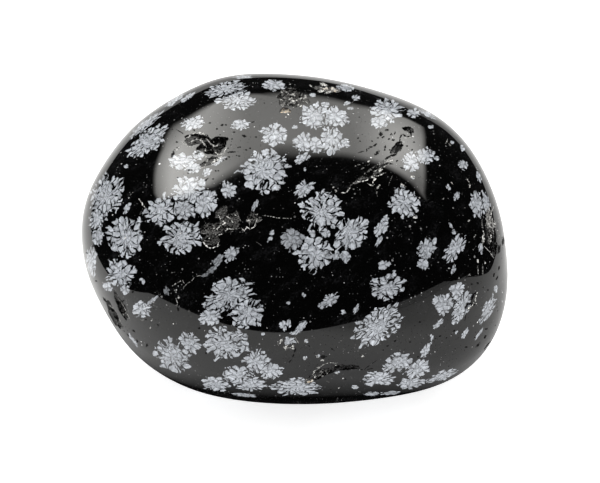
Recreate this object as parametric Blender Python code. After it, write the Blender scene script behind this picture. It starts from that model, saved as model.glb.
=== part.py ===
"""A tumbled piece of snowflake obsidian, 40 mm long, lying on its broad flat side.

One solid: a rounded pillow of volcanic glass with a few swells and hollows, a
small flat worn where it rests, and the pits that tumbling didn't take out.
X runs along the stone's length, Y across it and Z up. The origin is the middle
of its bounding box, at the bottom.
"""

import math

import bmesh
import bpy
import numpy as np
from mathutils import Matrix, Vector, noise
from mathutils.bvhtree import BVHTree

MM = 0.001

# Half sizes of the pillow, before its swells
HALF_LENGTH = 20.05 * MM
HALF_DEPTH = 16.4 * MM
HALF_HEIGHT = 12.0 * MM

# 2 would make every upright section an ellipse, and more flattens the top and tightens the shoulders
PILLOW_POWER = 2.6

# How much the worn flat takes off the underside, and the shortest edge kept round it
BASE_WEAR = 0.2 * MM
BASE_EDGE = 0.25 * MM

# The stone is described as seen from in front and above, from this height and distance
VIEW_ELEVATION = math.radians(48)
VIEW_DISTANCE = 314 * MM

# Swells and hollows round the outline seen from there: degrees anticlockwise from the right
# of the view, height, and how far it spreads in degrees
OUTLINE_SWELLS = (
    (324, 1.95 * MM, 23),
    (14, -0.85 * MM, 20),
    (64, -0.65 * MM, 24),
    (114, 0.58 * MM, 17),
    (158, -0.28 * MM, 12),
    (201, -0.5 * MM, 13),
    (235, 0.25 * MM, 16),
    (268, -0.45 * MM, 22),
)

# Swells and hollows of the far side: degrees round from the front to the right, degrees up,
# height, and spread in degrees
FAR_SWELLS = (
    (160, -18, 0.5 * MM, 24),
    (206, -30, -0.5 * MM, 22),
    (186, 8, -0.35 * MM, 15),
)

# Pits on the seen side: millimetres right and up from the middle of the view, then length,
# width and depth, and the turn of the length in degrees anticlockwise
SEEN_PITS = {
    "shoulder_deep": (-7.7, 8.7, 2.7, 2.0, 0.9, 20),
    "shoulder_rough": (-9.3, 9.3, 2.4, 1.4, 0.4, -12),
    "crest_crater": (-0.3, 13.2, 2.6, 2.2, 0.5, 0),
    "crest_small": (-0.9, 12.0, 1.0, 0.8, 0.3, 0),
    "crest_rough": (3.5, 14.0, 1.6, 1.1, 0.25, 0),
    "chain_top": (10.7, 10.2, 1.0, 0.9, 0.35, 0),
    "chain_middle": (9.6, 8.5, 1.9, 0.7, 0.3, 62),
    "chain_crack": (6.9, 5.9, 5.0, 0.5, 0.14, 38),
    "heart_floor": (-7.5, 0.9, 3.0, 1.0, 0.26, -4),
    "heart_lobe": (-3.9, 1.9, 1.3, 1.1, 0.24, 0),
    "left_upper": (-16.5, -6.5, 2.8, 0.9, 0.35, -54),
    "left_lower": (-17.3, -7.4, 3.0, 0.8, 0.45, -55),
    "right_upper": (18.3, 1.6, 2.2, 1.0, 0.25, 80),
    "right_lower": (18.8, -0.8, 2.0, 0.9, 0.25, 86),
    "right_crack": (16.5, -6.0, 1.9, 0.45, 0.15, 46),
    "foot_trough": (2.6, -12.7, 3.4, 1.0, 0.4, 30),
    "foot_tail": (5.0, -12.2, 2.2, 0.6, 0.2, -6),
}

# Pits on the far side: degrees round from the front to the right, degrees up, then length,
# width, depth and turn as above
FAR_PITS = {
    "back_crater": (172, 16, 3.0, 2.2, 0.6, 15),
    "back_side": (173, 8, 1.6, 1.0, 0.35, 60),
    "back_left": (222, 2, 2.4, 1.0, 0.35, -35),
    "back_right": (126, -8, 1.8, 1.5, 0.4, 10),
    "back_crack": (198, -16, 4.2, 0.5, 0.16, 24),
    "under_front": (18, -52, 2.4, 1.5, 0.35, 25),
    "under_left": (292, -48, 1.7, 1.2, 0.3, 70),
}

# How far a pit's floor and edge wander, as a share of its size, and how many wanders it has
PIT_WANDER = 0.3
PIT_WANDERS = 1.7

# Pits longer than this many millimetres are cut with the finer ball
LARGE_PIT = 2.3
BODY_DIVISIONS = 5
LARGE_PIT_DIVISIONS = 3
SMALL_PIT_DIVISIONS = 2
OBSIDIAN_BLACK = (0.004, 0.004, 0.0045, 1.0)

# A point this far from the middle is clear of the stone
WELL_OUTSIDE = 3 * HALF_LENGTH

# Edges that turn more than this, as round the flat, are drawn sharp
SHARP_TURN = math.radians(20)


def clear_scene():
    for obj in list(bpy.data.objects):
        bpy.data.objects.remove(obj, do_unlink=True)


def new_collection(name):
    collection = bpy.data.collections.new(name)
    bpy.context.scene.collection.children.link(collection)
    return collection


def obsidian_material():
    material = bpy.data.materials.new("polished_obsidian")
    material.use_nodes = True
    shader = material.node_tree.nodes["Principled BSDF"]
    shader.inputs["Base Color"].default_value = OBSIDIAN_BLACK
    shader.inputs["Roughness"].default_value = 0.06
    shader.inputs["Metallic"].default_value = 0.0
    shader.inputs["IOR"].default_value = 1.5
    material.diffuse_color = OBSIDIAN_BLACK
    return material


def compass(around, up):
    """The direction so many degrees round from the front to the right, and up."""
    around, up = math.radians(around), math.radians(up)
    return Vector((math.sin(around) * math.cos(up), -math.cos(around) * math.cos(up), math.sin(up)))


VIEW_RIGHT = Vector((1, 0, 0))
VIEW_UP = Vector((0, math.sin(VIEW_ELEVATION), math.cos(VIEW_ELEVATION)))
VIEW_BACK = compass(0, math.degrees(VIEW_ELEVATION))


def on_outline(clock):
    clock = math.radians(clock)
    return math.cos(clock) * VIEW_RIGHT + math.sin(clock) * VIEW_UP


def swell(directions, towards, height, spread):
    """A smooth rise that is highest towards one direction and fades with the angle from it."""
    angle = np.arccos(np.clip(directions @ np.array(towards), -1, 1))
    return height * np.exp(-((angle / math.radians(spread)) ** 2))


def reach(directions):
    """How far the stone reaches from its middle in each direction."""
    plan = np.hypot(directions[:, 0] / HALF_LENGTH, directions[:, 1] / HALF_DEPTH)
    upright = np.abs(directions[:, 2]) / HALF_HEIGHT
    pillow = (plan**PILLOW_POWER + upright**PILLOW_POWER) ** (-1 / PILLOW_POWER)
    for clock, height, spread in OUTLINE_SWELLS:
        pillow = pillow + swell(directions, on_outline(clock), height, spread)
    for around, up, height, spread in FAR_SWELLS:
        pillow = pillow + swell(directions, compass(around, up), height, spread)
    return pillow


def stone_body(collection, material):
    """The stone without its pits, still centred on its own middle."""
    body = bmesh.new()
    bmesh.ops.create_icosphere(body, subdivisions=BODY_DIVISIONS, radius=1)
    directions = np.array([vertex.co.normalized() for vertex in body.verts])
    for vertex, distance in zip(body.verts, reach(directions)):
        vertex.co = vertex.co.normalized() * distance
    wear_flat(body)
    mesh = bpy.data.meshes.new("snowflake_obsidian")
    body.to_mesh(mesh)
    body.free()
    mesh.materials.append(material)
    stone = bpy.data.objects.new("snowflake_obsidian", mesh)
    collection.objects.link(stone)
    return stone


def wear_flat(body):
    """Cuts the underside off level and closes it with one flat face."""
    geometry = body.verts[:] + body.edges[:] + body.faces[:]
    level = Vector((0, 0, BASE_WEAR - HALF_HEIGHT))
    bmesh.ops.bisect_plane(body, geom=geometry, plane_co=level, plane_no=(0, 0, -1), clear_outer=True)
    corners = [vertex for vertex in body.verts if vertex.is_boundary]
    bmesh.ops.remove_doubles(body, verts=corners, dist=BASE_EDGE)
    rim = [edge for edge in body.edges if edge.is_boundary]
    bmesh.ops.edgeloop_fill(body, edges=rim)
    bmesh.ops.recalc_face_normals(body, faces=body.faces)


def seen_place(surface, right, up):
    """Where the line of sight through that point of the view meets the stone, and the normal there."""
    eye = VIEW_BACK * VIEW_DISTANCE
    sight = VIEW_RIGHT * right * MM + VIEW_UP * up * MM - eye
    place, normal, _, _ = surface.ray_cast(eye, sight.normalized())
    return place, normal


def far_place(surface, around, up):
    """Where that direction from the middle meets the stone, and the normal there."""
    direction = compass(around, up)
    place, normal, _, _ = surface.ray_cast(direction * WELL_OUTSIDE, -direction)
    return place, normal


def pit_cutter(name, collection, place, normal, pit):
    """A lumpy flattened ball set half into the surface, which leaves a pit of its depth."""
    length, width, depth, turn = pit
    divisions = LARGE_PIT_DIVISIONS if length > LARGE_PIT else SMALL_PIT_DIVISIONS
    cutter = bmesh.new()
    bmesh.ops.create_icosphere(cutter, subdivisions=divisions, radius=1)
    for vertex in cutter.verts:
        vertex.co *= 1 + PIT_WANDER * noise.noise(vertex.co * PIT_WANDERS + place / MM)
    size = Matrix.Diagonal((length / 2 * MM, width / 2 * MM, depth * MM, 1))
    along = VIEW_RIGHT - normal * VIEW_RIGHT.dot(normal)
    along = Matrix.Rotation(math.radians(turn), 3, normal) @ along.normalized()
    frame = Matrix((along, normal.cross(along), normal)).transposed().to_4x4()
    bmesh.ops.transform(cutter, matrix=Matrix.Translation(place) @ frame @ size, verts=cutter.verts)
    mesh = bpy.data.meshes.new(name)
    cutter.to_mesh(mesh)
    cutter.free()
    helper = bpy.data.objects.new(name, mesh)
    helper.hide_render = True
    helper.display_type = "WIRE"
    collection.objects.link(helper)
    return helper


def pit_cutters(stone, collection):
    surface = BVHTree.FromPolygons(
        [vertex.co for vertex in stone.data.vertices],
        [tuple(face.vertices) for face in stone.data.polygons],
    )
    for name, (right, up, *pit) in SEEN_PITS.items():
        pit_cutter(name, collection, *seen_place(surface, right, up), pit)
    for name, (around, up, *pit) in FAR_PITS.items():
        pit_cutter(name, collection, *far_place(surface, around, up), pit)


def cut_pits(stone, collection):
    pits = stone.modifiers.new("pits", "BOOLEAN")
    pits.operation = "DIFFERENCE"
    pits.solver = "EXACT"
    pits.operand_type = "COLLECTION"
    pits.collection = collection


def set_down(objects, mesh):
    """Moves all the meshes together, so that the stone's box stands on the origin."""
    corners = np.array([vertex.co for vertex in mesh.vertices])
    low, high = corners.min(axis=0), corners.max(axis=0)
    middle = (low + high) / 2
    shift = Matrix.Translation((-middle[0], -middle[1], -low[2]))
    for obj in objects:
        obj.data.transform(shift)


def main():
    clear_scene()
    parts = new_collection("snowflake_obsidian")
    cutters = new_collection("cutters")
    stone = stone_body(parts, obsidian_material())
    pit_cutters(stone, cutters)
    cut_pits(stone, cutters)
    set_down([stone, *cutters.objects], stone.data)
    stone.data.shade_smooth()
    stone.data.set_sharp_from_angle(angle=SHARP_TURN)


main()
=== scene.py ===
import math

import bpy
import numpy as np
from mathutils import Matrix, Vector, noise
from mathutils.bvhtree import BVHTree


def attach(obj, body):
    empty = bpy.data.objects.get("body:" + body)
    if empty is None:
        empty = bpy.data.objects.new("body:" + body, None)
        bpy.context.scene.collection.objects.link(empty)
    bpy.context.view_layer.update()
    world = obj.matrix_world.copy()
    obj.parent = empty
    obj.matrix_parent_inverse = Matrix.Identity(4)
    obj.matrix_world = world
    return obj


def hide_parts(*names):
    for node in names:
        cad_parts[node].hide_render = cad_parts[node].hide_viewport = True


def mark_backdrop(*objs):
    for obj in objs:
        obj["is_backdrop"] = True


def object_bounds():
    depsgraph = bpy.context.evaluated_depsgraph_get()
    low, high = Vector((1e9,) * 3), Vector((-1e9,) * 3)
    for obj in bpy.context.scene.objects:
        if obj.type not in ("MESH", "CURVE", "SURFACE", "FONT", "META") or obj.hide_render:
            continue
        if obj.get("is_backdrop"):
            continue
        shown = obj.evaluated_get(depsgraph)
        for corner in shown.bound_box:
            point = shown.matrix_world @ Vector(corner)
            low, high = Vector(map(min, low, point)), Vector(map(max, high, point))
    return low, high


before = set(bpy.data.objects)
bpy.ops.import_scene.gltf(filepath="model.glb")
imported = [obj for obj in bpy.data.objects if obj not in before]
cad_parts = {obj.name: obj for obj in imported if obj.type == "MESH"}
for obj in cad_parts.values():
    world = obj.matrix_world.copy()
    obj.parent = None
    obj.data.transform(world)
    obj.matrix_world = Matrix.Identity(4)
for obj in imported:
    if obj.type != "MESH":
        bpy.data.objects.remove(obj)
cad_low, cad_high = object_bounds()


# The camera
# A long lens looks down on the stone at 48 degrees. The pits, snowflakes and marks are placed by
# what it sees, so it comes first. The photograph is 600 pixels wide, and its stone 40 mm long.

MM = 0.001
PHOTO_WIDTH = 600
PHOTO_HEIGHT = 483
PIXELS_PER_MM = 10.63
STONE_MIDDLE_PIXEL = (295, 238)
VIEW_ELEVATION = math.radians(48)
LENS = 200
SENSOR = 36

# The middle of the stone's form, which is a little above the middle of its box
HALF_HEIGHT = 12.0 * MM
BASE_WEAR = 0.2 * MM
STONE_MIDDLE = Vector((0, 0, HALF_HEIGHT - BASE_WEAR))

# The picture's right and up, and the way back to the camera
VIEW_RIGHT = Vector((1, 0, 0))
VIEW_UP = Vector((0, math.sin(VIEW_ELEVATION), math.cos(VIEW_ELEVATION)))
VIEW_BACK = Vector((0, -math.cos(VIEW_ELEVATION), math.sin(VIEW_ELEVATION)))
VIEW_DISTANCE = PHOTO_WIDTH / PIXELS_PER_MM * MM * LENS / SENSOR
EYE = STONE_MIDDLE + VIEW_BACK * VIEW_DISTANCE

lens = bpy.data.cameras.new("photo_lens")
lens.lens = LENS
lens.sensor_width = SENSOR
lens.clip_start = 0.01
lens.shift_x = (PHOTO_WIDTH / 2 - STONE_MIDDLE_PIXEL[0]) / PHOTO_WIDTH
lens.shift_y = (STONE_MIDDLE_PIXEL[1] - PHOTO_HEIGHT / 2) / PHOTO_WIDTH
camera = bpy.data.objects.new("photo_camera", lens)
camera.matrix_world = Matrix((VIEW_RIGHT, VIEW_UP, VIEW_BACK)).transposed().to_4x4()
camera.location = EYE
bpy.context.scene.collection.objects.link(camera)
bpy.context.scene.camera = camera


# The stone's body
# A pebble of black volcanic glass, tumbled until it was round and bright. It is a pillow with a
# few broad swells, 40 mm long, with a small worn flat under it, made smooth enough for its polish.

HALF_LENGTH = 20.05 * MM
HALF_DEPTH = 16.4 * MM
PILLOW_POWER = 2.6
SMOOTH_ROUNDS = 7

# Swells and hollows round the outline that the camera sees: degrees anticlockwise from the right,
# height, and how far it spreads in degrees
OUTLINE_SWELLS = (
    (324, 1.95 * MM, 23),
    (14, -0.85 * MM, 20),
    (64, -0.65 * MM, 24),
    (114, 0.58 * MM, 17),
    (158, -0.28 * MM, 12),
    (201, -0.5 * MM, 13),
    (235, 0.25 * MM, 16),
    (268, -0.45 * MM, 22),
)

# Swells and hollows of the far side: degrees round from the front to the right, degrees up,
# height, and spread in degrees
FAR_SWELLS = (
    (160, -18, 0.5 * MM, 24),
    (206, -30, -0.5 * MM, 22),
    (186, 8, -0.35 * MM, 15),
)


def compass(around, up):
    around, up = math.radians(around), math.radians(up)
    return Vector((math.sin(around) * math.cos(up), -math.cos(around) * math.cos(up), math.sin(up)))


def on_outline(clock):
    return math.cos(math.radians(clock)) * VIEW_RIGHT + math.sin(math.radians(clock)) * VIEW_UP


def swell(directions, towards, height, spread):
    angle = np.arccos(np.clip(directions @ np.array(towards), -1, 1))
    return height * np.exp(-((angle / math.radians(spread)) ** 2))


def reach(directions):
    """How far the stone reaches from its middle in each direction."""
    plan = np.hypot(directions[:, 0] / HALF_LENGTH, directions[:, 1] / HALF_DEPTH)
    upright = np.abs(directions[:, 2]) / HALF_HEIGHT
    pillow = (plan**PILLOW_POWER + upright**PILLOW_POWER) ** (-1 / PILLOW_POWER)
    for clock, height, spread in OUTLINE_SWELLS:
        pillow = pillow + swell(directions, on_outline(clock), height, spread)
    for around, up, height, spread in FAR_SWELLS:
        pillow = pillow + swell(directions, compass(around, up), height, spread)
    return pillow


def corners_of(mesh):
    places = np.empty(len(mesh.vertices) * 3, np.float32)
    mesh.vertices.foreach_get("co", places)
    return places.reshape(-1, 3).astype(float)


def move_corners(mesh, places):
    mesh.vertices.foreach_set("co", np.asarray(places, np.float32).ravel())
    mesh.update()


def directions_of(mesh):
    directions = corners_of(mesh)
    return directions / np.linalg.norm(directions, axis=1)[:, None]


def shaped(directions):
    """The stone's surface in each direction, set down so that it stands in the middle of the floor."""
    return directions * reach(directions)[:, None] - SET_DOWN


bpy.ops.object.select_all(action="DESELECT")
bpy.ops.mesh.primitive_ico_sphere_add(subdivisions=SMOOTH_ROUNDS, radius=1)
stone = bpy.context.object
stone.name = "polished_stone"
directions = directions_of(stone.data)
body = directions * reach(directions)[:, None]
SET_DOWN = (body.min(axis=0) + body.max(axis=0)) / 2
SET_DOWN[2] = BASE_WEAR - HALF_HEIGHT
surface = BVHTree.FromPolygons(
    [Vector(place) for place in shaped(directions)],
    [tuple(face.vertices) for face in stone.data.polygons],
)


# The pits
# Tumbling leaves the deepest breaks unpolished: small hollows of shell-shaped chips, black where
# the glass is clean and gritty where old cracks and bubbles crossed it. They are cut into the body.


def by_pixel(x, y):
    """Where the photograph's pixel x, y meets the stone, and the surface's normal there."""
    right = (x - STONE_MIDDLE_PIXEL[0]) / PIXELS_PER_MM * MM
    up = (STONE_MIDDLE_PIXEL[1] - y) / PIXELS_PER_MM * MM
    sight = STONE_MIDDLE + VIEW_RIGHT * right + VIEW_UP * up - EYE
    place, normal, _, _ = surface.ray_cast(EYE, sight.normalized())
    return place, normal


def by_compass(around, up):
    direction = compass(around, up)
    place, normal, _, _ = surface.ray_cast(STONE_MIDDLE + direction * 3 * HALF_LENGTH, -direction)
    return place, normal


def axes_on(normal, turn):
    """Two directions along the surface, the first turned so many degrees from the view's right."""
    along = (VIEW_RIGHT - normal * VIEW_RIGHT.dot(normal)).normalized()
    along = Matrix.Rotation(math.radians(turn), 3, normal) @ along
    return along, normal.cross(along)


# As the camera sees them: mm to the right and up from the middle, length, width, depth, degrees
# turned, and how gritty each is: 0 is clean black glass, and 1 is all pale crumbs
SEEN_PITS = (
    (-7.7, 8.7, 2.7, 2.0, 0.9, 20, 0.08),
    (-9.3, 9.3, 2.4, 1.4, 0.4, -12, 0.15),
    (-0.25, 13.2, 2.8, 2.9, 0.5, 0, 0.6),
    (-0.9, 12.0, 1.0, 0.8, 0.3, 0, 1.0),
    (3.5, 14.0, 1.6, 1.1, 0.25, 0, 0.95),
    (10.7, 10.2, 1.0, 0.9, 0.35, 0, 0.05),
    (9.6, 8.5, 1.9, 0.7, 0.3, 62, 0.05),
    (6.9, 5.9, 5.0, 0.4, 0.12, 38, 0.0),
    (-7.5, 0.9, 3.0, 1.0, 0.26, -4, 0.4),
    (-3.9, 1.9, 1.3, 1.1, 0.24, 0, 0.45),
    (-16.35, -6.45, 2.8, 1.4, 0.45, -56, 0.3),
    (-17.05, -7.35, 2.9, 2.2, 0.6, -57, 0.0),
    (18.3, 1.6, 2.2, 1.2, 0.25, 80, 0.7),
    (18.8, -0.8, 2.0, 0.9, 0.25, 86, 0.3),
    (16.5, -6.0, 1.9, 0.45, 0.15, 46, 0.1),
    (2.6, -12.7, 3.4, 1.0, 0.4, 30, 0.35),
    (5.0, -12.2, 2.2, 0.6, 0.2, -6, 0.05),
    # Shallow bruises beside them, too slight to change the form
    (-8.0, 7.2, 1.7, 0.8, 0.10, 28, 0.2),
    (-6.2, 1.5, 2.4, 1.5, 0.07, 30, 0.35),
    (-7.9, 0.0, 1.6, 1.5, 0.08, 60, 0.35),
    (-6.9, 2.4, 1.4, 1.0, 0.06, 60, 0.25),
    (2.3, 14.1, 1.1, 0.7, 0.08, 0, 0.7),
    (1.3, -13.5, 0.9, 0.7, 0.08, 20, 1.0),
    (18.3, 0.3, 1.6, 1.0, 0.10, 84, 0.45),
)

# On the far side: degrees round from the front to the right, degrees up, and the same sizes
FAR_PITS = (
    (172, 16, 3.0, 2.2, 0.6, 15, 0.1),
    (173, 8, 1.6, 1.0, 0.35, 60, 0.5),
    (222, 2, 2.4, 1.0, 0.35, -35, 0.4),
    (126, -8, 1.8, 1.5, 0.4, 10, 0.3),
    (198, -16, 4.2, 0.5, 0.16, 24, 0.25),
    (18, -52, 2.4, 1.5, 0.35, 25, 0.4),
    (292, -48, 1.7, 1.2, 0.3, 70, 0.5),
)

# Every pit is a shallow bowl with chips knocked out of it at random. As shares of the pit: how far
# off its middle they lie, their size, and their depth
CHIPS_PER_PIT = 9
CHIPS_OFF = (0.1, 0.75)
CHIP_SIZES = (0.3, 0.62)
CHIP_DEPTHS = (0.5, 1)
BOWL_DEPTH = 0.5
RIM_LUMPS = 0.15

# Grit roughens the floor, a clean one least
GRIT_WIDTH = 0.25 * MM
LEAST_GRIT = 0.2
MOST_GRIT = 0.7

# How far from its middle a pit is looked for, and how far above and below the surface
PIT_REACH = 1.5
PIT_SLAB = 1.2 * MM

# The floor rises to the rim over this share of the pit, a ridge stands where two chips' depths are
# this close, and the broken look is full where the cut is this share of the depth
RIM_SHARE = 0.12
RIDGE_SHARE = 0.16
LOOK_FULL = 1 / 6

# A pit more than this many times as long as wide is a crack, which wanders off its line
CRACK_SHAPE = 4
CRACK_WANDER = 0.9

chance = np.random.default_rng(11)
pits = []
for pit in SEEN_PITS + FAR_PITS:
    x, y, long, wide, deep, turn, grit = pit
    if pit in SEEN_PITS:
        centre, normal = by_pixel(
            STONE_MIDDLE_PIXEL[0] + x * PIXELS_PER_MM, STONE_MIDDLE_PIXEL[1] - y * PIXELS_PER_MM
        )
    else:
        centre, normal = by_compass(x, y)
    along, across = axes_on(normal, turn)
    chips = []
    for _ in range(CHIPS_PER_PIT):
        angle, off = chance.uniform(0, 2 * math.pi), chance.uniform(*CHIPS_OFF)
        size, share = chance.uniform(*CHIP_SIZES), chance.uniform(*CHIP_DEPTHS)
        chips.append((off * math.cos(angle), off * math.sin(angle), size, share))
    half = (long / 2 * MM, wide / 2 * MM, deep * MM)
    pits.append((centre, normal, along, across, half, chips, grit))


def pit_cut(places):
    """For each place: how deep its pit is cut, towards where, and the pit's share, ridges and grit."""
    depth = np.zeros(len(places))
    towards = np.zeros((len(places), 3))
    look = np.zeros((len(places), 3))
    for number, (centre, normal, along, across, half, chips, grit) in enumerate(pits):
        away = places - np.array(centre)
        near = np.flatnonzero(np.linalg.norm(away, axis=1) < PIT_REACH * max(half))
        near = near[np.abs(away[near] @ np.array(normal)) < PIT_SLAB]
        if not len(near):
            continue
        x = away[near] @ np.array(along) / half[0]
        y = away[near] @ np.array(across) / half[1]
        if half[0] > CRACK_SHAPE * half[1]:
            y = y + CRACK_WANDER * (np.sin(5.3 * x + number) + 0.5 * np.sin(11 * x + number))
        angle = np.arctan2(y, x)
        lumps = np.sin(3 * angle + number) + 0.6 * np.sin(7 * angle + 2.3 * number)
        rim = np.hypot(x, y) / (1 + RIM_LUMPS * lumps)
        cuts = [np.sqrt(np.clip(1 - rim**2, 0, 1)) * BOWL_DEPTH]
        for chip_x, chip_y, size, share in chips:
            within = np.clip(1 - ((x - chip_x) ** 2 + (y - chip_y) ** 2) / size**2, 0, 1)
            cuts.append(np.sqrt(within) * share)
        cuts = np.sort(np.array(cuts), axis=0)
        deepest = cuts[-1] * np.clip((1 + RIM_SHARE - rim) / RIM_SHARE, 0, 1)
        # Where two chips meet, a ridge stands between them
        ridge = np.clip(1 - (cuts[-1] - cuts[-2]) / RIDGE_SHARE, 0, 1)
        crumbs = np.array([noise.noise(Vector(place) / GRIT_WIDTH) for place in places[near]])
        deepest = deepest * (1 + min(LEAST_GRIT + grit, MOST_GRIT) * crumbs)
        deeper = deepest * half[2] > depth[near]
        near, deepest, ridge = near[deeper], deepest[deeper], ridge[deeper]
        depth[near] = deepest * half[2]
        towards[near] = -np.array(normal)
        look[near, 0] = np.clip(deepest / LOOK_FULL, 0, 1)
        look[near, 1] = ridge
        look[near, 2] = grit
    return depth, towards, look


# The mesh is made finer where a pit is, before it is shaped
REFINE_REACH = 1.2
REFINE_MARGIN = 0.25 * MM
REFINE_ROUNDS = 2
for _ in range(REFINE_ROUNDS):
    places = shaped(directions_of(stone.data))
    middles = np.array([places[list(face.vertices)].mean(axis=0) for face in stone.data.polygons])
    refined = np.zeros(len(middles), bool)
    for centre, normal, along, across, half, _, _ in pits:
        away = middles - np.array(centre)
        x = away @ np.array(along) / (half[0] + REFINE_MARGIN)
        y = away @ np.array(across) / (half[1] + REFINE_MARGIN)
        refined |= (np.hypot(x, y) < REFINE_REACH) & (np.abs(away @ np.array(normal)) < PIT_SLAB)
    bpy.ops.object.mode_set(mode="EDIT")
    bpy.ops.mesh.select_all(action="DESELECT")
    bpy.ops.object.mode_set(mode="OBJECT")
    stone.data.polygons.foreach_set("select", refined)
    bpy.ops.object.mode_set(mode="EDIT")
    bpy.ops.mesh.select_mode(type="FACE")
    bpy.ops.mesh.subdivide(number_cuts=1, ngon=False)
    bpy.ops.mesh.select_all(action="SELECT")
    bpy.ops.mesh.quads_convert_to_tris()
    bpy.ops.object.mode_set(mode="OBJECT")

body = shaped(directions_of(stone.data))
depth, towards, _ = pit_cut(body)
move_corners(stone.data, body + towards * depth[:, None])

# The worn flat underneath
FLAT_MERGE = 0.000001
FACET_ANGLE = math.radians(24)
bpy.ops.object.mode_set(mode="EDIT")
bpy.ops.mesh.select_all(action="SELECT")
bpy.ops.mesh.bisect(
    plane_co=(0, 0, 0), plane_no=(0, 0, -1), clear_outer=True, use_fill=True, threshold=FLAT_MERGE
)
bpy.ops.object.mode_set(mode="OBJECT")
bpy.ops.object.shade_smooth_by_angle(angle=FACET_ANGLE)
_, _, look = pit_cut(corners_of(stone.data))
pit_look = stone.data.attributes.new("pit_look", "FLOAT_VECTOR", "POINT")
pit_look.data.foreach_set("vector", look.astype(np.float32).ravel())


# The snowflakes
# Grey crystal clusters that grew in the glass as it cooled, sliced by the polish: round flakes of
# petals split by narrow dark clefts. They are level with the glass, so they are colour alone.

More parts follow.
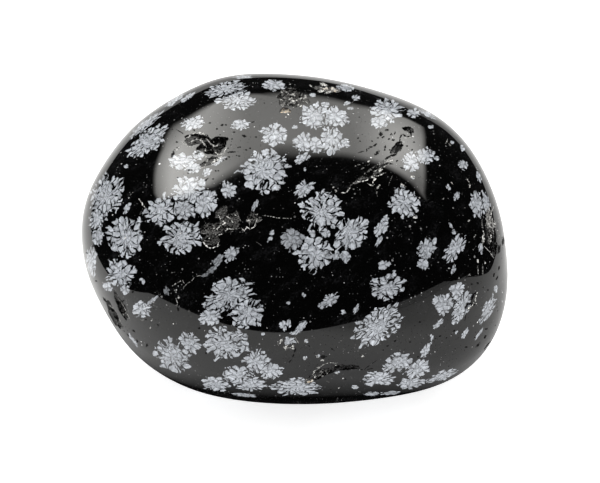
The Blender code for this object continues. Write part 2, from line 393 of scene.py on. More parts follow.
# Each is given as the photograph shows it: its middle, its half width and half height along its
# own axes in pixels, and how many degrees those axes are turned
SEEN_FLAKES = (
    # Upper left, and the rim above it
    (148, 142, 24, 13, 38), (145, 125, 22, 5, 38), (175, 100, 10, 3, 38), (188, 97, 7, 2.5, 35),
    (193, 123, 12, 7, 12), (182, 161, 14, 8, -4), (193, 168, 9, 5, 10), (198, 155, 6, 5, 0),
    (219, 161, 8, 2, 35), (207, 172, 5, 3.2, 40), (225, 89, 22, 8, 14), (237, 100, 20, 11, 8),
    (243, 77, 9, 2, 4), (274, 85, 10, 6, 0), (241, 125, 9, 5, 5), (275, 135, 14, 12, 10),
    (126, 166, 2.5, 2, 0),
    # Upper middle
    (313, 95, 3, 2, 0), (314, 116, 15, 12, 20), (335, 117, 13, 10, 0), (325, 105, 4, 3, 0),
    (304, 143, 10, 10, 60), (315, 144, 8, 9, 80), (331, 140, 12, 14, 0), (345, 143, 6, 4, -20),
    (302, 158, 8, 4, 35), (345, 88, 9, 4, -6), (356, 98, 4, 3, 0), (347, 103, 4, 2, 30),
    (350, 108, 3, 2, 0), (347, 122, 3, 2, 0), (305, 169, 2, 2, 0), (295, 127, 3, 2, 0),
    # Upper right
    (387, 111, 17, 13, 0), (380, 121, 9, 7, 10), (414, 113, 7, 5, -10), (427, 114, 9, 3, -25),
    (411, 161, 8, 9, 20), (424, 156, 10, 8, 10), (434, 153, 3, 2, 0), (437, 158, 3, 2, 0),
    (431, 127, 3, 2, 0), (413, 177, 2, 2, 0), (415, 217, 2, 2, 0),
    # Left
    (106, 196, 26, 17, 68), (97, 217, 13, 8, 75), (98, 236, 9, 6, 80), (91, 261, 17, 7, 84),
    (126, 238, 20, 22, 0), (127, 208, 7, 3, 55), (120, 273, 15, 14, 20), (108, 286, 5, 5, 0),
    (125, 290, 5, 6, 0), (142, 281, 3, 3, 0), (142, 309, 9, 7, 10), (152, 301, 8, 2, 38),
    (166, 291, 3, 5, 20), (133, 340, 7, 2, -55),
    # Left of the middle
    (189, 191, 18, 17, 20), (162, 210, 17, 15, 30), (205, 203, 13, 14, 10), (183, 209, 14, 11, 0),
    (181, 237, 22, 18, 0), (263, 170, 25, 24, 20), (229, 190, 7, 8, 10), (255, 205.5, 6, 2, 65),
    (231, 254, 8, 6, 50), (218, 261, 8, 4, 38), (212, 270, 5, 3, 30), (205, 275, 4, 2, 20),
    # Middle
    (322, 211, 22, 19, 10), (351, 233, 21, 16, 55), (345, 256, 5, 6, 0), (336, 256, 3, 6, -10),
    (315, 254, 18, 17, 30), (292, 239, 12, 11, 0), (304, 189, 10, 7, 35), (271.5, 232.5, 3, 2.4, 40),
    (269.5, 239.5, 3.4, 1.8, 40), (325, 233, 5, 5, 0), (333, 226, 3, 3, 0), (312, 234, 4, 4, 0),
    (330, 300, 8, 5, 30), (322, 305, 4, 3, 40), (343, 312, 3, 2, 0), (356, 309, 2, 5, -30),
    # Right
    (404, 203, 16, 15, 30), (381, 228, 10, 5, 50), (386, 219, 4, 3, 40), (379, 241, 2, 6, -30),
    (427, 249, 12, 8, 60), (423, 264, 6, 6, 50), (449, 186.5, 3, 3, 0), (457, 196, 4.6, 2.6, 65),
    (463, 165, 5, 5, 0), (452, 143, 2, 2, 0), (462, 148, 3, 3, 0), (479, 177, 3, 6, 10),
    (477, 204, 7, 14, 8), (486, 203, 4, 11, 12), (455, 248, 15, 8, 55), (450.5, 225, 1.4, 3.2, 25),
    (454, 232, 2.2, 2.2, 0), (454, 269.5, 4.4, 2, 75), (481, 248, 2.6, 5.6, 0),
    # Lower right
    (387, 287, 19, 14, 15), (384, 265, 6, 4, 20), (378, 326, 27, 17, 38), (457, 291, 8, 7, 50),
    (443, 304, 11, 10, 30), (462, 308, 18, 9, 62), (454, 322, 3, 3, 0), (438, 324, 7, 2.2, 42),
    (432, 338, 2, 3.4, 10), (426, 350, 8.5, 3.8, 58), (488, 309, 18, 6, 64), (496, 289, 2, 4, 0),
    (457, 332, 3, 1.6, 50), (465, 333, 6, 2.2, 60), (479, 334, 7, 1.3, 55), (398, 363, 17, 10, 15),
    (378, 379, 15, 8, 0), (417, 370, 13, 9, 30), (411, 383, 14, 6, 5), (442, 376, 17, 5, 20),
    (355, 387, 4, 2, 0), (372, 394, 8, 2, 0), (390, 393, 10, 2, 2), (338, 373, 3, 2, 0),
    # Lower left
    (229, 295, 26, 18, 20), (210, 317, 12, 8, 15), (247, 313, 19, 17, 0), (226, 343, 25, 18, 5),
    (172, 356, 21, 16, -30), (191, 343, 13, 9, -40), (215, 384, 15, 8, -6), (238, 375, 16, 12, 0),
    (256, 362, 14, 11, 20), (271, 371, 11, 9, 0), (250, 384, 16, 7, 0), (297, 387, 25, 9, 2),
    (245, 395, 12, 2, -4), (283, 326, 3, 4.4, 15), (289, 323, 2.4, 4.4, -8), (301, 327, 8, 3.2, 52),
    (289, 341, 6, 4, 10), (293, 333, 3.4, 1.6, 10), (288, 303, 2, 1.5, 0), (263, 334, 2, 1.5, 0),
    (306, 341, 2, 2, 0), (304, 295, 2, 2, 0), (305, 358, 2, 2, 0), (318, 356, 2, 2, 0),
)

# Flakes that lie a little under the surface look duller: middle, and share of the usual paleness
DULL_FLAKES = {
    (292, 239): 0.66, (255, 205.5): 0.75, (231, 254): 0.8, (218, 261): 0.6, (212, 270): 0.5,
    (205, 275): 0.4, (166, 291): 0.45, (350, 108): 0.7, (183, 209): 0.9, (226, 343): 0.88,
    (289, 341): 0.85, (322, 305): 0.8, (463, 165): 0.85, (152, 301): 0.85, (133, 340): 0.9,
    (172, 356): 0.8, (191, 343): 0.8, (256, 362): 0.9, (398, 363): 0.92, (443, 304): 0.9,
    (488, 309): 0.9, (229, 295): 0.95, (427, 249): 0.9, (106, 196): 0.94, (477, 204): 0.94,
}

# Clusters that the photograph doesn't show, drawn at random in the same mix of sizes, in pixels
FAR_FLAKES = 240
SMALLEST_FLAKE = 2.5
LARGEST_FLAKE = 26
MOST_SMALL = 2.6
PLACE_TRIES = 15
FLAKES_APART = 0.78
FAR_STRETCH = (1, 1.3)
FAR_FLAKE_PALENESS = (0.85, 1)

# They keep this far behind the rim that the camera sees, and a large one further
BEHIND_RIM = 0.05
BEHIND_PER_SIZE = 0.06 / MM

# The drawn rim wavers inside the measured one
RIM_ROOM = 1.09


def picture_axes(turn):
    """The picture's own axes: what the camera sees of a shape on them is what was measured."""
    turn = math.radians(turn)
    first = VIEW_RIGHT * math.cos(turn) + VIEW_UP * math.sin(turn)
    return first, VIEW_UP * math.cos(turn) - VIEW_RIGHT * math.sin(turn)


def anywhere():
    """A place on the stone drawn at random, and the surface's normal there."""
    return by_compass(chance.uniform(0, 360), math.degrees(math.asin(chance.uniform(-1, 1))))


def towards_camera(centre, normal):
    return normal.dot((EYE - centre).normalized())


flake_rows = []
roomy_pixel = MM / PIXELS_PER_MM * RIM_ROOM
for x, y, wide, high, turn in SEEN_FLAKES:
    centre, normal = by_pixel(x, y)
    first, second = picture_axes(turn)
    size = max(wide, high) * roomy_pixel
    pale = DULL_FLAKES.get((x, y), 1)
    axes = (first / (wide * roomy_pixel), second / (high * roomy_pixel), normal / size)
    flake_rows.append((centre, *axes, size, pale))
spread = (LARGEST_FLAKE - SMALLEST_FLAKE) * chance.random(FAR_FLAKES) ** MOST_SMALL
for radius in np.sort(SMALLEST_FLAKE + spread)[::-1]:
    size = radius / PIXELS_PER_MM * MM
    for _ in range(PLACE_TRIES):
        centre, normal = anywhere()
        along, across = axes_on(normal, chance.uniform(0, 180))
        longer = chance.uniform(*FAR_STRETCH)
        room = min((centre - row[0]).length - FLAKES_APART * (size + row[4]) for row in flake_rows)
        if towards_camera(centre, normal) < -BEHIND_RIM - BEHIND_PER_SIZE * size and room > 0:
            pale = chance.uniform(*FAR_FLAKE_PALENESS)
            axes = (along / (size * longer), across / size, normal / size)
            flake_rows.append((centre, *axes, size, pale))
            break


# Each face learns where its corners lie in its three nearest flakes, each one's radius counted in
# petals, how pale it is, and a number of its own that its pattern starts from
FLAKE_SHARES = ("nearest", "second", "third")
PETAL_WIDTH = 0.6 * MM
OUT_OF_REACH = 1.8
FAR_OFF = 9
SEED_STEP = 0.6180339
AT_ONCE = 4000

corners = corners_of(stone.data)
counts = np.empty(len(stone.data.polygons), np.int32)
stone.data.polygons.foreach_get("loop_total", counts)
loops = np.empty(len(stone.data.loops), np.int32)
stone.data.loops.foreach_get("vertex_index", loops)
middles = np.empty(len(stone.data.polygons) * 3, np.float32)
stone.data.polygons.foreach_get("center", middles)
middles = middles.reshape(-1, 3).astype(float)


def reaches_of(rows):
    """For some faces at a time: which, how far off each row's middle is, and that in its own sizes."""
    centres, *axes = rows[:4]
    for start in range(0, len(middles), AT_ONCE):
        some = slice(start, start + AT_ONCE)
        away = middles[some, None, :] - centres[None, :, :]
        squares = sum(np.einsum("ijk,jk->ij", away, axis) ** 2 for axis in axes)
        yield some, np.linalg.norm(away, axis=2), np.sqrt(squares)


def write_corners(name, *numbers):
    """Keeps three numbers for each corner of each face."""
    kept = stone.data.attributes.new(name, "FLOAT_VECTOR", "CORNER")
    kept.data.foreach_set("vector", np.stack(numbers, 1).astype(np.float32).ravel())


def write_places(name, rows, mine, far, last):
    """Keeps where each corner lies on its row's own axes, or far off, and one more number."""
    away = corners[loops] - rows[0][mine]
    x, y = [np.einsum("ij,ij->i", away, axis[mine]) for axis in rows[1:3]]
    x[far] = FAR_OFF
    write_corners(name, x, y, last)


flakes = [np.array(part) for part in zip(*flake_rows)]
sizes, paleness = flakes[4:]
nearest = np.zeros((len(middles), len(FLAKE_SHARES)), np.int32)
distances = np.zeros((len(middles), len(FLAKE_SHARES)))
for some, _, rank in reaches_of(flakes):
    order = np.argsort(rank, axis=1)[:, : len(FLAKE_SHARES)]
    nearest[some] = order
    distances[some] = np.take_along_axis(rank, order, axis=1)
for share, name in enumerate(FLAKE_SHARES):
    mine = np.repeat(nearest[:, share], counts)
    far = np.repeat(distances[:, share], counts) > OUT_OF_REACH
    seeds = mine * SEED_STEP % 1
    write_places(name + "_flake", flakes, mine, far, seeds)
    write_corners(name + "_kind", sizes[mine] / PETAL_WIDTH, paleness[mine], seeds)


# The small marks
# Pinholes left by gas bubbles and the ends of cracks, which stay dull and black in the polish, and
# pale chips, crack edges and old scratches, partly painted glints where broken edges catch the light.
# They are a tenth of a millimetre wide, so colour alone.

# Black ovals, by the photograph's pixels: middle, half length, half width, and degrees turned
PINHOLES = (
    # Upper right
    (367, 150, 1.2, 0.6, 80), (369, 148, 1.2, 0.6, 70), (371, 147, 1.2, 0.7, 20),
    (375, 145, 1.8, 0.9, 40), (377, 153, 2.3, 1.1, 50), (381, 134, 1.4, 1.8, 0), (383, 137, 1.4, 0.8, 30),
    (387, 130, 1.4, 0.9, 0), (391, 134, 1.2, 0.5, 70), (393, 134, 1.2, 0.5, 60), (395, 133, 1.4, 0.5, 60),
    (393, 140, 1.2, 0.8, 0), (385, 147, 0.9, 1.3, 0), (361, 152, 2.6, 0.4, 20), (360, 141, 0.8, 0.5, 0),
    (397, 150, 3.2, 1.5, 58), (402, 168, 1.8, 0.5, -25), (397, 161, 1.2, 0.6, 40),
    (412, 150, 0.8, 0.7, 0), (372, 141, 0.7, 0.6, 0),
    # Upper left
    (222, 125, 1.3, 0.8, 25), (244, 136, 1.5, 1, -20), (253, 122, 1.6, 0.5, 0), (232, 152, 3.2, 0.6, 0),
    (218, 171, 0.7, 0.6, 0), (189, 170, 1.2, 0.8, 20), (177, 148, 0.8, 0.9, 0), (173, 154, 2.8, 1.2, 68),
    (206, 180, 2.4, 0.5, 40),
    # Bottom and rims
    (323, 357, 2.4, 1.4, 10), (395, 341, 1.2, 0.6, 30), (494, 275, 1.8, 0.8, 70),
    (499, 268, 1.5, 0.8, 75), (478, 283, 1.2, 0.7, 0), (497, 278, 2, 0.6, 60), (499, 249, 3.4, 1.5, 82),
    (503, 241, 3.2, 1.2, 80), (478, 345, 2.6, 0.9, 50), (485, 337, 1.6, 0.9, 50), (486, 329, 1.2, 0.8, 0),
    (466, 347, 1.2, 0.8, 0), (105, 300, 2.6, 0.9, -50), (123, 301, 1.2, 0.7, 40),
    (134, 331, 1.2, 0.8, -40), (128, 335, 1.4, 0.7, -50), (137, 341, 1.4, 0.8, -50),
    (178, 309, 0.8, 1.8, 10), (147, 345, 1.6, 0.9, 60), (454, 331, 1.2, 0.8, 40),
    (474, 305, 1.2, 0.7, 80),
)

# The smallest black ones, not turned: half length, half width, and their middles
PINPRICKS = (
    (0.8, 0.6, ((385, 150), (390, 150), (347, 123), (414, 142), (378, 138), (210, 123), (250, 148),
        (223, 160), (192, 170), (213, 179), (178, 178), (172, 129), (240, 147), (246, 150), (256, 137),
        (334, 350), (383, 350))),
    (0.9, 0.6, ((358, 138), (407, 146), (239, 156), (229, 157), (216, 171), (345, 379), (410, 342),
        (472, 284))),
    (0.9, 0.7, ((217, 129), (194, 130), (133, 292), (121, 306), (199, 328), (158, 325), (93, 246))),
    (1, 0.7, ((389, 139), (234, 132), (226, 159), (177, 142), (440, 336), (420, 322), (488, 290),
        (475, 338), (206, 353), (87, 253))),
    (0.7, 0.5, ((232, 139), (220, 135), (231, 145), (223, 148))),
    (1, 0.6, ((226, 125), (332, 349), (388, 346), (96, 281))),
)

# Black cracks: half width, and the line they follow
CRACKS = (
    (0.9, ((405, 129), (408, 127), (411, 131), (411, 136), (407, 137), (402, 134))),
    (0.8, ((402, 134), (400, 138), (400, 142), (398, 147))),
    (1.1, ((397, 152), (395, 155), (390, 156), (385, 159.5))), (0.5, ((177, 130), (184, 134))),
    (0.35, ((388, 157), (391, 157), (393, 155))), (1, ((295.5, 348.5), (294.8, 351.5))),
    (0.8, ((294.3, 353.5), (293, 357))), (0.6, ((291.5, 359.5), (288.8, 363))),
    (1.5, ((334, 367), (340, 367), (344, 366.5))), (0.8, ((344, 366.5), (352, 366.5), (357, 369))),
    (0.45, ((357, 369), (365, 370), (374, 368))), (0.4, ((365, 369), (370, 365), (377, 360))),
    (1.1, ((487, 229), (486, 236), (487, 243))), (1.2, ((494, 229), (496, 236), (494, 244), (496, 251))),
    (0.5, ((466, 313), (465, 320))), (0.7, ((493, 213), (491, 220))), (0.8, ((484, 349), (490, 342))),
)

# Pale chips and painted glints: middle, half length, half width, degrees turned, and how pale from 0 to 1
CHIPS = (
    # Above the crack at the upper right, and beside it
    (389, 161, 4, 2.2, 28, 0.8), (380, 170, 2.4, 1.9, 60, 0.85), (391, 157, 1.2, 0.8, 0, 0.8),
    (369, 161.5, 1.2, 0.9, 0, 0.9), (378, 187, 3, 1.1, 45, 0.75), (377, 193, 0.9, 3, 0, 0.12),
    (403, 185, 2.4, 0.8, -30, 0.6), (413, 177, 2, 1.5, 0, 0.9), (415, 217, 1.6, 1.4, 0, 0.7),
    (374, 167, 2.6, 0.7, 30, 0.12), (369, 171, 3, 0.8, 20, 0.12), (366, 175, 2.4, 0.7, 40, 0.1),
    (379, 164.5, 2.4, 0.7, 25, 0.5), (385, 166, 2, 0.7, 40, 0.55), (376, 170.5, 2.2, 0.6, 30, 0.5),
    (363, 168, 2.6, 0.5, 35, 0.3), (368, 165, 2.2, 0.5, 30, 0.3), (374, 173, 1.4, 0.6, 40, 0.7),
    (408, 137.5, 2.6, 0.6, 10, 0.8), (333, 187, 1.4, 0.8, -60, 0.4), (336, 191, 2, 0.9, -10, 0.45),
    (447, 141, 2.4, 0.5, 60, 0.5), (450, 145, 2.4, 0.5, -50, 0.4),
    # The upper left pit, and the gritty ones at the top
    (173, 151, 2.2, 0.8, 70, 0.55), (206, 160, 2, 1.2, 30, 0.3), (198, 152, 4, 2.6, 40, 0.1),
    (288, 93.6, 1.2, 0.8, 20, 0.8), (292, 94.6, 0.9, 0.7, 0, 0.7), (291, 98, 2.8, 0.7, 35, 0.8),
    (294, 100.5, 3.4, 1.2, 15, 1), (301, 98, 1.2, 0.8, 0, 0.8), (305, 97.5, 1.8, 0.8, 15, 0.7),
    (301, 106, 1.9, 0.7, 5, 0.85), (293, 107, 0.8, 0.6, 0, 0.7), (288, 114.5, 1.1, 1.1, 0, 0.95),
    (286, 117, 1.3, 0.6, 0, 0.6), (324, 85, 4, 1.7, -25, 0.9), (321.5, 91, 3.4, 1.4, 10, 1),
    (311, 86, 2.2, 0.8, -40, 0.95), (329, 92, 3.4, 1.4, 15, 0.7), (335, 89.5, 3, 1.3, -10, 0.6),
    # The rough rim at the right, and the dust before it
    (491, 236, 1.1, 1.9, 0, 0.9), (490, 242, 1.7, 1.5, 0, 0.75), (495, 224, 1.2, 2.6, 10, 0.8),
    (483.4, 238, 6.6, 1.3, 84, 0.8), (485, 263, 0.9, 1.4, 0, 0.6), (477.7, 261.5, 1.1, 1.8, 10, 0.9),
    (469, 221, 1.2, 1, 0, 1), (474, 249, 1.5, 0.9, 50, 0.8), (475, 236, 1.9, 0.6, 60, 0.5),
    (469, 275, 1.5, 0.9, 20, 0.6), (470, 186, 0.8, 1.8, 0, 0.7), (452, 183, 0.7, 1.2, 20, 0.5),
    (465, 208, 0.8, 0.6, 0, 0.5), (443, 199, 1, 0.6, 30, 0.5), (469.5, 242, 0.7, 0.6, 0, 0.5),
    # The bottom
    (326.5, 373, 1.4, 1.9, 0, 0.9), (314.5, 371.5, 1.8, 0.9, 50, 0.9), (318.5, 367.5, 1.4, 0.8, 40, 0.8),
    (322.5, 376, 1.2, 0.8, 0, 0.9), (320, 372, 1.2, 1, 0, 0.6), (315, 377, 1.9, 1.3, 0, 0.75),
    (319, 376, 1.2, 0.7, 40, 0.5), (317.5, 356.5, 1.5, 1.7, 0, 0.5), (322.5, 360, 1.9, 0.9, 10, 0.6),
    (305, 358.3, 1.6, 1, -20, 0.9), (362.5, 356.3, 1.6, 1.1, 0, 0.8), (306, 341, 2.5, 0.8, 40, 0.7),
    (337.5, 373.3, 1.1, 0.7, 0, 0.6), (329, 382, 0.8, 0.6, 0, 0.5), (355, 387, 2.2, 0.7, 5, 0.6),
    (341, 341, 0.8, 0.7, 0, 0.4), (292.5, 347, 2.2, 1.7, 0, 1), (286, 347.5, 1.9, 2.2, 0, 0.75),
    (280, 342, 3.2, 1.4, 45, 0.85), (296, 339, 1.3, 2, 20, 0.5), (298, 342, 1.8, 0.9, -30, 0.6),
    (339, 388, 0.9, 0.6, 0, 0.5), (152, 320, 1, 1, 0, 0.8), (173, 324, 1.4, 0.7, 50, 0.7),
    (150, 328, 1.2, 0.6, 40, 0.5), (142, 320, 1.2, 0.9, 0, 0.4),
    # The left
    (142.5, 204, 1.6, 0.9, -60, 0.9), (180, 233, 0.9, 0.9, 0, 0.8), (125, 238, 0.9, 0.9, 0, 0.8),
    (175, 291, 2.4, 0.9, -50, 0.25), (178.5, 297.5, 0.8, 1.2, 0, 0.5), (206, 230, 1.6, 0.8, -40, 0.4),
    (268, 328, 1, 0.8, 0, 0.5),
)

# Pale crack edges and scratches, partly painted glints where the edges catch the light: half width, how
# pale, and the line they follow
EDGES = (
    # The crack at the upper right
    (0.8, 1, ((352, 183.4), (355.5, 181.7), (360, 181.7), (365.6, 180.4), (368.2, 179.5))),
    (0.9, 1, ((372, 177), (375.7, 178.6), (373, 181.7), (373, 184.7), (370.4, 185.2), (368.7, 184.3))),
    (0.7, 0.9, ((377, 176), (380.5, 175), (384, 173.4))),
    (0.7, 0.8, ((341.5, 192.6), (345.5, 193), (349, 189.5), (350, 187.5))),
    (0.5, 0.12, ((393, 174.5), (389.7, 181.7), (388.4, 185.6))),
    (0.5, 0.5, ((355.5, 166), (358, 164.6), (360, 164.6))),
    (0.5, 0.2, ((362, 177), (366, 172), (372, 168))),
    # Round the upper left pit
    (1.2, 0.9, ((187.5, 138), (190.5, 135), (196, 133), (202, 132.5), (206, 136))),
    (1, 0.75, ((190, 142), (195, 139.5), (200, 139))),
    (1.2, 0.9, ((199, 139), (203, 142), (206, 147), (205, 151))),
    (0.9, 0.8, ((206, 138), (210, 143), (215, 146), (218, 145))),
    (1, 0.8, ((214, 151), (219, 155), (224, 153), (226, 148))),
    (0.8, 0.6, ((200, 152), (205, 155), (208, 160), (205, 166), (200, 169))),
    (1.8, 1, ((213, 162), (217, 159.5), (221, 157.5))), (0.9, 0.7, ((173, 155), (176, 150), (180, 147))),
    (0.8, 0.5, ((183, 143), (187, 146), (192, 147))),
    # The bruise left of the middle
    (0.7, 1, ((226, 230.3), (228, 228.6), (234.5, 229.3), (237.3, 228.2), (241, 228), (244.4, 230.5),
        (247, 227.4), (250.7, 229), (254, 227))),
    (0.9, 0.9, ((219.3, 217), (221.4, 221), (225.7, 222.6), (220, 226.2), (216.2, 229))),
    (0.6, 0.6, ((226, 216), (230.3, 218.7), (233.4, 223))),
    (0.5, 0.6, ((254, 227), (256, 222), (257.4, 218.3), (260, 217))),
    (0.4, 0.3, ((249.5, 225), (249, 219), (252, 214.5), (256, 214.5))),
    (0.8, 0.95, ((203, 241.6), (205, 244.5), (207.7, 247.2), (212, 248), (217.6, 246.2),
        (218.6, 241.6))), (0.5, 0.5, ((204.5, 228.2), (206.5, 230.2))),
    (0.7, 0.7, ((214, 234), (217.6, 235.3), (221.4, 234.2))),
    (0.45, 0.55, ((263.8, 215.5), (271, 216.4), (277, 217.8), (282, 218.2), (289, 218.5))),
    (0.45, 0.3, ((236.3, 211.3), (238.5, 216), (240.8, 221))),
    (0.45, 0.25, ((210, 222), (207, 226), (205, 222))),
    # The rough rim at the right
    (0.9, 0.9, ((493.3, 208), (491.5, 212), (490.3, 217), (489.5, 222), (489.2, 227.4))),
    (0.9, 0.25, ((482, 221), (482.5, 229))), (0.6, 0.7, ((485, 247), (489, 251), (493.3, 257))),
    (0.9, 0.3, ((478, 265), (478, 273.6))), (1.2, 0.22, ((482.6, 267.4), (483.1, 274.6))),
    (0.6, 0.6, ((467, 179), (469, 182))), (0.7, 0.5, ((497, 229), (499, 234), (499, 240))),
    # A vein at the lower right
    (1.3, 1, ((475.5, 298.5), (475, 302.5), (472, 306), (468.5, 308))),
    (1, 0.9, ((477, 293.5), (475.5, 298.5))), (0.9, 0.8, ((475, 302.5), (478, 305.5))),
    # The edges of the left rim's chips, and the crack at the bottom
    (0.7, 0.6, ((107, 304.5), (113.3, 308.5), (118.5, 317.4), (121.7, 325))),
    (0.5, 0.6, ((118.5, 299.5), (123.6, 307), (129.4, 318.7))),
    (0.5, 0.6, ((312.5, 375), (316.7, 370), (323.3, 364.4), (330, 362.6), (336.7, 363.4))),
    # Scratches
    (0.5, 0.7, ((139, 199), (142.5, 204), (146, 209))),
    (0.4, 0.2, ((129.8, 196), (131, 193.6), (132.8, 192.4))), (0.4, 0.2, ((141.8, 210), (139.9, 214.5))),
    (0.6, 0.6, ((173.8, 285), (178.3, 282), (182.4, 280.4), (184.3, 283))),
    (0.5, 0.35, ((184, 286.8), (187, 283.8), (191.4, 281), (195.2, 276.3), (201.2, 275.5))),
    (0.4, 0.4, ((170.4, 273), (175, 272))), (0.6, 0.35, ((176.4, 299.5), (177.5, 303.3), (176.8, 306))),
    (0.4, 0.12, ((255, 241), (258, 243), (262, 246))),
    # Soft grey bruises in the right rim
    (4.5, 0.45, ((488.5, 211), (489, 219), (489.5, 226))), (4, 0.35, ((492.5, 222), (493.5, 230))),
)

# The tatters at a mark's rim make holes look smaller than measured, and pale marks larger
HOLE_GROWTH = 1.3
CHIP_SHRINK = 0.85
EDGE_SHRINK = 0.6

# A mark is drawn on faces whose middles are this near, and reaches this deep
MARK_REACH = 1.5 * MM
MARK_DEPTH = 4 * MM / PIXELS_PER_MM

# The same kinds of marks on the far side, drawn at random, in mm. One in three is a pale chip, and
# an edge is a few short strokes end to end, each bent from the last by up to so many degrees
FAR_MARKS = 220
ONE_PALE_IN = 3
FAR_HALF_LENGTHS = (0.06, 0.3)
FAR_HALF_WIDTHS = (0.05, 0.1)
FAR_PALENESS = (0.3, 0.9)
MARKS_BEHIND = 0.05
FAR_EDGES = 40
EDGE_HALF_WIDTH = 0.06
STROKES = (2, 6)
STROKE_HALF_LENGTHS = (0.15, 0.4)
STROKE_BEND = 50
EDGES_BEHIND = 0.15


def along_line(line, half_width):
    """A line as the ovals that cover it: middle, half length, half width and degrees turned."""
    for (x0, y0), (x1, y1) in zip(line, line[1:]):
        half = math.hypot(x1 - x0, y1 - y0) / 2 + half_width
        turn = math.degrees(math.atan2(y0 - y1, x1 - x0))
        yield (x0 + x1) / 2, (y0 + y1) / 2, half, half_width, turn


mark_rows = []


def add_mark(centre, normal, axes, long, wide, pale):
    mark_rows.append((centre, axes[0] / long, axes[1] / wide, normal / MARK_DEPTH, pale))


marks = [(x, y, long * HOLE_GROWTH, wide * HOLE_GROWTH, turn, 0) for x, y, long, wide, turn in PINHOLES]
for long, wide, places in PINPRICKS:
    marks += [(x, y, long * HOLE_GROWTH, wide * HOLE_GROWTH, 0, 0) for x, y in places]
marks += [oval + (0,) for half_width, line in CRACKS for oval in along_line(line, half_width)]
for x, y, long, wide, turn, pale in CHIPS:
    marks.append((x, y, long * CHIP_SHRINK, wide * CHIP_SHRINK, turn, pale))
for half_width, pale, line in EDGES:
    marks += [oval + (pale,) for oval in along_line(line, half_width * EDGE_SHRINK)]
pixel = MM / PIXELS_PER_MM
for x, y, long, wide, turn, pale in marks:
    add_mark(*by_pixel(x, y), picture_axes(turn), long * pixel, wide * pixel, pale)
for number in range(FAR_MARKS):
    centre, normal = anywhere()
    axes = axes_on(normal, chance.uniform(0, 180))
    long, wide = chance.uniform(*FAR_HALF_LENGTHS) * MM, chance.uniform(*FAR_HALF_WIDTHS) * MM
    pale = 0 if number % ONE_PALE_IN else chance.uniform(*FAR_PALENESS)
    if towards_camera(centre, normal) < -MARKS_BEHIND:
        add_mark(centre, normal, axes, long, wide, pale)
for _ in range(FAR_EDGES):
    centre, normal = anywhere()
    turn, pale = chance.uniform(0, 180), chance.uniform(*FAR_PALENESS)
    if towards_camera(centre, normal) > -EDGES_BEHIND:
        continue
    for _ in range(int(chance.integers(*STROKES))):
        turn += chance.uniform(-STROKE_BEND, STROKE_BEND)
        axes = axes_on(normal, turn)
        long = chance.uniform(*STROKE_HALF_LENGTHS) * MM
        add_mark(centre + axes[0] * long, normal, axes, long, EDGE_HALF_WIDTH * MM, pale)
        centre = centre + axes[0] * long * 2
marks = [np.array(part) for part in zip(*mark_rows)]
mine = np.zeros(len(middles), np.int32)
for some, apart, rank in reaches_of(marks):
    # A face takes the mark whose drawn edge is nearest to it
    mine[some] = np.argmin(apart * (1 - 1 / np.maximum(rank, 1)), axis=1)
far = np.linalg.norm(middles - marks[0][mine], axis=1) > MARK_REACH
mine, far = np.repeat(mine, counts), np.repeat(far, counts)
write_places("mark", marks, mine, far, marks[4][mine])


# The stone's finish
# Obsidian is a volcanic glass, nearly black, of IOR 1.5. Fine grit polished it to a roughness near
# 0.05, so it mirrors what is round it. Its snowflakes are cristobalite, a bluish grey that takes a
# softer polish, and its pits are rough and mirror nothing.


def add(kind, inputs=(), out=0, **more):
    """Adds a node to the tree in hand, with its settings and links, and gives back an output.

    A maths node's operation follows its kind. What begins with a capital letter is an input.
    """
    kind, _, operation = kind.partition(" ")
    made = tree.nodes.new("ShaderNode" + kind)
    if operation:
        made.operation = operation
    given = dict(enumerate(inputs))
    for name, value in more.items():
        if name[0].isupper():
            given[name] = value
        else:
            setattr(made, name, value)
    for name, value in given.items():
        if isinstance(value, bpy.types.NodeSocket):
            tree.links.new(value, made.inputs[name])
        else:
            made.inputs[name].default_value = value
    return made.outputs[out]


def linear(hex_colour):
    """An sRGB hex colour as the linear values that Blender's sockets take."""
    parts = [int(hex_colour[at : at + 2], 16) / 255 for at in (1, 3, 5)]
    return [part / 12.92 if part <= 0.04045 else ((part + 0.055) / 1.055) ** 2.4 for part in parts] + [1]


# One flake's pattern, as a group: 1 on its petals and 0 off them, and how light they are. What
# belongs to the whole flake is measured in its radius, and what belongs to a petal in petal widths
OUT_OF_ROUND = 0.36
BRANCHING = 0.35
PETAL_DRIFT = 0.6
CLEFTS_BEGIN = (0.55, 0.05)
CLEFT_WIDTH = 0.23
RAGGED_BY = 0.12
PETAL_ENDS = (0.84, 1.14)
STUMP_ENDS = (0.22, 0.6)
STUMPS_BEGIN = (0.5, 0.85)
HEALED = (0.35, 1.2)
OPEN_RIM = (0.75, 0.95)
EDGE_SOFTNESS = 0.035
HALF_PETAL = 0.47
ROUND_PETALS = 1.9
ROUNDEST = 0.4
STUMP_ROUNDING = 0.45
MIDDLES_WITHIN = 0.95
WOBBLES = (0.16, 0.32)

# The radius in petals up to which a flake is a lump, and from which it has all its clefts
LUMP = 1.8
FULL_FLAKE = 3.4

# How light the seams between petals are, in the flake's middle and further out, and how far each
# kind of mottling dims and lights a petal
SEAM_TONES = (0.75, 0.3)
MOTTLES = (0.55, 1.3)
SPECKLES = (0.74, 1.24)
RAYS = (0.78, 1.22)
OWN_TONES = (0.9, 1.08)
HALF = (0.5, 0.5, 0.5)

